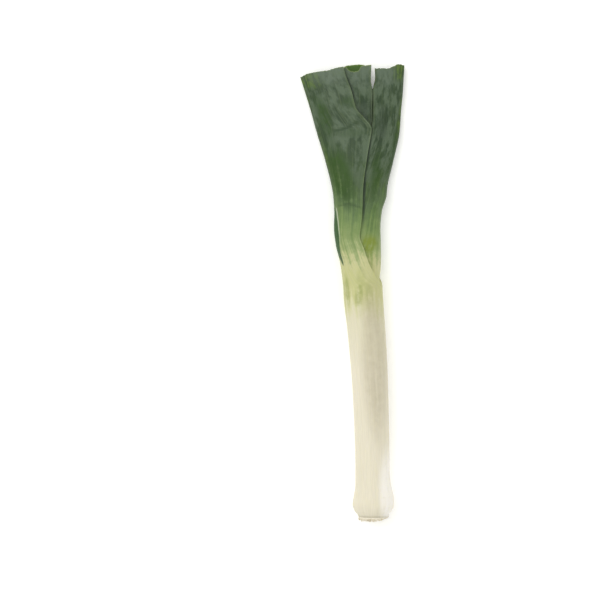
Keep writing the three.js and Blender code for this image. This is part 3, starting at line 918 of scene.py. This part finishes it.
@dataclass
class LeafFan:
    """All leaves of the leek, from the outside in."""

    def leaves(self) -> list[Leaf]:
        """List the six leaves with their measured edges.

        Returns:
            The leaves, from the outermost to the heart.
        """
        return [
            Leaf("outer_leaf", layer=0, side=Side.LEFT, spread=1.0, mouth=4.0,
                 margins=(
                     (12, 16.7, 20), (20, 12.2, 17), (32, 8, 13.5), (41, 5, 11), (49, 6, 10.5),
                     (61, 7, 10.5), (76, 7.6, 11), (98, 10.5, 12), (111, 12.6, 12.5), (121, 14, 12),
                     (129, 8.5, 11.3), (136, 2.6, 10), (148, -0.6, 6.5), (170, -7, 2)),
                 upper_cut=(
                     (-41.9, 160.7), (-39.5, 161.3), (-36, 162.6), (-29, 163.7), (-20, 164.8),
                     (-7.8, 167.2)),
                 lower_cut=((-41.9, 160.7), (-36, 161.8), (-30, 162.4), (-10, 164.5), (2, 165)),
                 skin=OUTER_SKIN, slot="outer_leaf_skin", columns=160, sheath_rows=60, blade_rows=112,
                 tongue=True, curl=1.1, skirt=0.7,
                 patches=(
                     Patch(WearAndPaintedLight.RUBBED, -8.5, 86, 12, 32, 1, -0.25),
                     Patch(WearAndPaintedLight.RUBBED, -21, 130, 7, 22, 0.7, -0.3),
                     Patch(WearAndPaintedLight.RUBBED, -2, 118, 16, 5, 0.4), Patch(WearAndPaintedLight.RUBBED, -1, 141, 12, 7, 0.5),
                     Patch(WearAndPaintedLight.SUNNY, -30, 158, 13, 9, 0.8),
                     Patch(WearAndPaintedLight.SUNNY, -34.5, 145, 2.2, 26, 0.6, -0.3),
                     Patch(WearAndPaintedLight.SUNNY, -21.5, 106, 2.2, 22, 0.5, -0.3),
                     Patch(WearAndPaintedLight.SUNNY, -8, 163, 10, 4, 0.45),
                     Patch(WearAndPaintedLight.OLIVE, -4.3, 1, 2.6, 15, 0.55, -0.1),
                     Patch(WearAndPaintedLight.OLIVE, 4.5, -3, 4, 11, 0.5, 0.1), Patch(WearAndPaintedLight.OLIVE, 12, -2, 5, 14, 0.3),
                     # painted shade darkens the stem's right half, here and on the next line
                     Patch(WearAndPaintedLight.OLIVE, 6, 9, 5, 11, 0.25), Patch(WearAndPaintedLight.PAINTED_SIDE_SHADE, 16, -54, 13, 74, 0.8, -0.03),
                     # the last patch here is a painted highlight on the bulb's right side
                     Patch(WearAndPaintedLight.PAINTED_SIDE_SHADE, 10, -14, 9, 14, 0.2), Patch(WearAndPaintedLight.PAINTED_HIGHLIGHT, 26, -146, 9, 40, 0.8),
                     Patch(WearAndPaintedLight.FROSTED, -16, 163, 26, 12, 0.75)),
                 creases=(
                     # each crease is pressed in and painted darker as shade
                     Crease(((-12, 63.5), (-4, 65), (8, 62))),
                     Crease(((-15, 119.5), (-6, 121), (6, 126)), half_width=1.0, strength=0.8),
                     Crease(((-10, 68), (-4, 74), (3, 81)), strength=0.3))),
            Leaf("second_leaf", layer=1, side=Side.RIGHT, spread=0.838, mouth=30.0,
                 margins=(
                     (49, -4, -6), (76, 1, -4), (98, 8, 0), (118, 13.6, 5), (136, 15.2, 10),
                     (150, 15.2, 14.4), (159, 16.9, 18.5), (170, 16.5, 19)),
                 upper_cut=((16.5, 166.4), (26.9, 166.7), (35.4, 170), (38.9, 169.3)),
                 lower_cut=((19, 165.5), (30, 166.5), (38.9, 169.3)),
                 skin=OUTER_SKIN, slot="outer_leaf_skin", columns=140, sheath_rows=40, blade_rows=70,
                 pallor=-4.0, ragged=0.7, curl=0.6,
                 patches=(
                     Patch(WearAndPaintedLight.SUNNY, 34, 164, 9, 10, 0.9, 0.1),
                     Patch(WearAndPaintedLight.SUNNY, 38.5, 140, 4.5, 32, 0.8, 0.17),
                     Patch(WearAndPaintedLight.RUBBED, 34, 120, 4, 26, 0.6, 0.2),
                     Patch(WearAndPaintedLight.RUBBED, 17, 84, 5, 26, 0.6, 0.1),
                     Patch(WearAndPaintedLight.OLIVE, 12, 36, 8.5, 8.5, 1.0), Patch(WearAndPaintedLight.OLIVE, 11, 23, 8, 12, 0.45),
                     # painted shade where this leaf lies under the outer leaf's margin and deep in its fold
                     Patch(WearAndPaintedLight.PAINTED_SHADE, 8.4, 72, 1.7, 28, 0.75, 0.04),
                     Patch(WearAndPaintedLight.PAINTED_SHADE, 12, 108, 1.8, 26, 0.85, 0.14),
                     Patch(WearAndPaintedLight.PAINTED_SHADE, 15, 138, 1.2, 18, 0.8), Patch(WearAndPaintedLight.PAINTED_SHADE, 22, 125, 6, 20, 0.4, 0.1),
                     Patch(WearAndPaintedLight.FROSTED, 25, 162, 11, 14, 0.75))),
            Leaf("third_leaf", layer=2, side=Side.LEFT, spread=0.69, mouth=50.0,
                 margins=(
                     (70, 13.5, 15.5), (98, 13.5, 14.5), (121, 14, 14), (137, 14.5, 13.5),
                     (150, 14.8, 12.5), (157, 13.7, 12), (170, 14, 11.5)),
                 upper_cut=(
                     (-28, 158), (-12, 164.5), (-7, 167), (-5, 167.8), (-3.9, 165.9), (-1.4, 164.4),
                     (1.6, 164.2), (4.6, 165.2), (6.8, 168.4), (14, 169)),
                 lower_cut=((-28, 158), (-12, 164.5), (-8, 166.2), (-5.2, 169), (6.6, 170), (11.5, 168.5)),
                 skin=INNER_SKIN, slot="inner_leaf_skin", columns=150, sheath_rows=24, blade_rows=50,
                 ragged=0.6,
                 patches=(
                     # painted shade along the edges of the leaves lying over this one
                     Patch(WearAndPaintedLight.PAINTED_SHADE, -2.3, 152.5, 2.2, 15, 0.7, -0.37),
                     Patch(WearAndPaintedLight.PAINTED_SHADE, 13.6, 132, 1.3, 18, 0.7), Patch(WearAndPaintedLight.PAINTED_SHADE, 8, 134, 6, 12, 0.4),
                     Patch(WearAndPaintedLight.FROSTED, 6, 162, 13, 16, 0.6))),
            Leaf("fourth_leaf", layer=3, side=Side.RIGHT, spread=0.72, mouth=62.0,
                 margins=((80, 2, 0), (98, 5, 2), (121, 9.5, 7), (150, 18, 19.5), (170, 19, 21)),
                 upper_cut=((19, 163.5), (28, 164.5), (34, 166)),
                 lower_cut=((21, 163), (34, 166)),
                 skin=INNER_SKIN, slot="inner_leaf_skin", columns=90, sheath_rows=20, blade_rows=36,
                 pallor=24.0),
            Leaf("fifth_leaf", layer=4, side=Side.LEFT, spread=0.42, mouth=76.0,
                 margins=((98, 12, 13), (121, 12, 12.5), (150, 12, 11.5), (170, 11, 11)),
                 upper_cut=((-16, 156), (-4, 160), (11, 162)),
                 lower_cut=((-16, 156), (-4, 161), (11, 163)),
                 skin=INNER_SKIN, slot="inner_leaf_skin", columns=70, sheath_rows=18, blade_rows=30,
                 pallor=40.0, rib_depth=0.1),
            Leaf("heart_leaf", layer=5, side=Side.RIGHT, spread=0.55, mouth=90.0,
                 margins=((121, 11, 10), (150, 18.5, 19.5), (170, 20.5, 21.5)),
                 upper_cut=((20, 157), (26, 160)),
                 lower_cut=((21, 158), (26, 160)),
                 skin=INNER_SKIN, slot="inner_leaf_skin", columns=48, sheath_rows=16, blade_rows=26,
                 pallor=58.0, rib_depth=0.06),
        ]

    def build(self) -> None:
        """Build every leaf."""
        for leaf in self.leaves():
            leaf.build()


@dataclass
class RootPlate:
    """The flat stem base with its ring of cut roots."""

    centre_x: float = 15.4
    centre_z: float = 13.9
    rim_radius: float = 11.2
    base_radius: float = 9.7
    base_y: float = ROOT_END + 1.5
    root_count: int = 210
    rim_count: int = 110
    root_radius: float = 0.42
    trim_height: float = 2.4
    around: int = 72
    rim_lean: float = 0.25
    disc_lean: float = 0.6
    lean_scatter: float = 0.16
    twist_scatter: float = 0.35
    bend: float = 1.4
    taper: float = 0.35
    unevenness: float = 0.3
    rim_inset: tuple[float, float] = (0.3, 0.9)
    cut_short: tuple[float, float] = (0.2, 1.3)
    thickness: tuple[float, float] = (0.55, 1.25)
    browning: tuple[float, float] = (0.1, 0.9)
    rim_sink: float = 1.5
    disc_sink: float = 1.2
    seed: int = 41

    def trim(self, right: np.ndarray) -> np.ndarray:
        """Return how much shorter the roots are cut to the right, and half as much to the left, in mm."""
        return self.trim_height * (smooth_step(right, 1.5, 12.2) + 0.5 * smooth_step(-right, 7.5, 11.5))

    def disc(self) -> tuple[np.ndarray, np.ndarray]:
        """Work out the disc: a profile turned round Y, with its underside roughened by seeded waves.

        Returns:
            Points and quads.
        """
        rim_y = PLATE_CREST_Y - PLATE_SLOPE * self.rim_radius
        profile = np.array([
            [0.001, self.base_y], [2.5, self.base_y], [5.0, self.base_y], [7.5, self.base_y],
            [self.base_radius, self.base_y], [self.rim_radius - 0.4, self.base_y + 0.9],
            [self.rim_radius, rim_y - 0.15], [self.rim_radius - 0.5, rim_y + 0.15],
            [6.0, PLATE_CREST_Y - PLATE_SLOPE * 6.0], [0.001, PLATE_CREST_Y]])
        turn = np.linspace(0.0, 2.0 * math.pi, self.around, endpoint=False)
        radius, angle = np.meshgrid(profile[:, 0], turn, indexing="ij")
        rough = SeededWaves(self.seed, 9.0, 1.4)
        low = (np.arange(len(profile)) < 5)[:, None]
        lift = self.unevenness + self.unevenness * rough(radius * (2.0 * np.cos(angle) + 5.0 * np.sin(angle)))
        lift = np.where(low, lift + 0.5 * self.trim(radius * np.cos(angle)), 0.0)
        points = np.stack([
            self.centre_x + radius * np.cos(angle), profile[:, 1][:, None] + lift,
            self.centre_z + radius * np.sin(angle)], -1)
        number = np.arange(points[..., 0].size).reshape(points.shape[:2])
        ring = np.concatenate([number, number[:, :1]], 1)
        return points.reshape(-1, 3), quad_grid(ring)

    def roots(self) -> tuple[np.ndarray, np.ndarray, np.ndarray]:
        """Work out the cut roots: tapered tubes in a spiral over the underside, leaning and bending outwards.

        Returns:
            Points, quads, and how far along its root each point lies.
        """
        draw = np.random.default_rng(self.seed)
        count, sides, rings = self.root_count + self.rim_count, 6, 5
        index = np.arange(count)
        rim = index >= self.root_count
        radius = (self.base_radius + 0.5) * np.sqrt((index + 0.5) / self.root_count)
        radius = np.where(rim, self.rim_radius - draw.uniform(*self.rim_inset, count), radius)
        turn = index * math.pi * (3.0 - math.sqrt(5.0))
        lean = np.where(rim, self.rim_lean, self.disc_lean * (radius / self.base_radius) ** 2)
        lean = lean + draw.normal(0.0, self.lean_scatter, count)
        twist = draw.normal(0.0, self.twist_scatter, count)
        lowest = ROOT_END + np.where(index % 4 == 0, 0.05, draw.uniform(*self.cut_short, count)) + 0.3 * rim
        shorter = self.trim(radius * np.cos(turn))
        lowest += shorter
        thick = self.root_radius * draw.uniform(*self.thickness, count)
        along = np.linspace(0.0, 1.0, rings)[None, :, None]
        start = (self.base_y + np.where(rim, self.rim_sink, self.disc_sink) + 0.5 * shorter)[:, None, None]
        drop = start - lowest[:, None, None]
        out = np.tan(lean)[:, None, None] * drop * along ** self.bend
        way = (turn + twist)[:, None, None]
        wide = thick[:, None, None] * (1.0 - self.taper * along)
        spin = np.linspace(0.0, 2.0 * math.pi, sides, endpoint=False)[None, None, :]
        foot_x = self.centre_x + (radius * np.cos(turn))[:, None, None]
        foot_z = self.centre_z + (radius * np.sin(turn))[:, None, None]
        x = foot_x + out * np.cos(way) + wide * np.cos(spin)
        z = foot_z + out * np.sin(way) + wide * np.sin(spin)
        y = start - drop * along + 0.0 * spin
        points = np.stack([x, y, z], -1)
        number = np.arange(count * rings * sides).reshape(count, rings, sides)
        ring = np.concatenate([number, number[..., :1]], -1)
        wall = np.stack([ring[:, :-1, :-1], ring[:, :-1, 1:], ring[:, 1:, 1:], ring[:, 1:, :-1]], -1)
        caps = [number[:, -1, list(part)] for part in ((0, 1, 2, 3), (0, 3, 4, 5))]
        tops = [number[:, 0, list(part)][:, ::-1] for part in ((0, 1, 2, 3), (0, 3, 4, 5))]
        quads = np.concatenate([wall.reshape(-1, 4), *caps, *tops])
        tip = np.broadcast_to(along * draw.uniform(*self.browning, count)[:, None, None] ** 2.5, y.shape)
        return points.reshape(-1, 3), quads, tip.reshape(-1)

    def build(self) -> bpy.types.Object:
        """Make the plate and its roots as one piece.

        Returns:
            The finished piece.
        """
        disc, disc_quads = self.disc()
        roots, root_quads, tip = self.roots()
        points = np.concatenate([disc, roots])
        piece = make_mesh("root_plate", points, np.concatenate([disc_quads, root_quads + len(disc)]),
                          RootTissue().build())
        set_attribute(piece, "root_tip", np.concatenate([np.full(len(disc), 0.0), 0.9 * tip]))
        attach(piece, "root")
        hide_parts("root_plate")
        LOG.info("root_plate: %d roots", self.root_count + self.rim_count)
        return piece


@dataclass
class Studio:
    """The pale floor, the soft lights and the camera straight above."""

    view_centre: tuple[float, float] = (-39.1, -6.1)
    view_width: float = 446.6
    subject_height: float = 10.0
    camera_height: float = 1600.0
    sensor: float = 36.0
    floor_half: float = 12000.0
    floor_drop: float = 0.02
    clip_end: float = 20.0
    room_white: tuple[float, ...] = (1.0, 1.0, 0.99, 1.0)
    room_strength: float = 0.70

    def build_floor(self) -> None:
        """Make the floor, a flat sheet just under the leek."""
        half = self.floor_half
        corners = half * np.array([[-1, -1, 0], [1, -1, 0], [1, 1, 0], [-1, 1, 0]]) + [0, 0, -self.floor_drop]
        floor = make_mesh("backdrop_floor", corners, np.array([[0, 1, 2, 3]]), BackdropPaper().build())

    def build_camera(self) -> None:
        """Put the camera straight above the middle of the photographed field."""
        data = bpy.data.cameras.new("camera")
        data.sensor_width = self.sensor
        data.lens = self.sensor * (self.camera_height - self.subject_height) / self.view_width
        data.clip_end = self.clip_end
        camera = bpy.data.objects.new("camera", data)
        camera.location = (self.view_centre[0] * MM, self.view_centre[1] * MM, self.camera_height * MM)
        bpy.context.scene.collection.objects.link(camera)
        bpy.context.scene.camera = camera

    def build_light(self, name: str, place: tuple[float, float, float], size: float, power: float) -> None:
        """Add one square soft light that points at the middle of the leek.

        Args:
            name: Name of the light.
            place: Where it hangs, in metres.
            size: Side of its panel, in metres.
            power: Its power in watts.
        """
        data = bpy.data.lights.new(name, "AREA")
        data.size = size
        data.energy = power
        light = bpy.data.objects.new(name, data)
        light.location = place
        away = np.array(place)
        light.rotation_euler = (math.acos(away[2] / np.linalg.norm(away)), 0.0, math.atan2(away[0], -away[1]))
        bpy.context.scene.collection.objects.link(light)

    def build_world(self) -> None:
        """Make the room a plain soft white."""
        world = bpy.data.worlds.new("studio")
        world.use_nodes = True
        background = world.node_tree.nodes["Background"]
        background.inputs["Color"].default_value = self.room_white
        background.inputs["Strength"].default_value = self.room_strength
        bpy.context.scene.world = world
        bpy.context.scene.view_settings.view_transform = "Standard"

    def build(self) -> None:
        """Build floor, camera, lights and world."""
        self.build_floor()
        self.build_camera()
        self.build_light("key_light", (-0.75, 0.5, 1.5), size=1.5, power=14.0)
        self.build_light("fill_light", (1.0, -0.6, 1.4), size=1.5, power=4.0)
        self.build_world()
        LOG.info("studio: floor, camera and two soft lights")


def main() -> None:
    """Build the studio, the leaves and the root plate."""
    logging.basicConfig(level=logging.INFO)
    Studio().build()
    LeafFan().build()
    RootPlate().build()


if __name__ == "__main__":
    main()
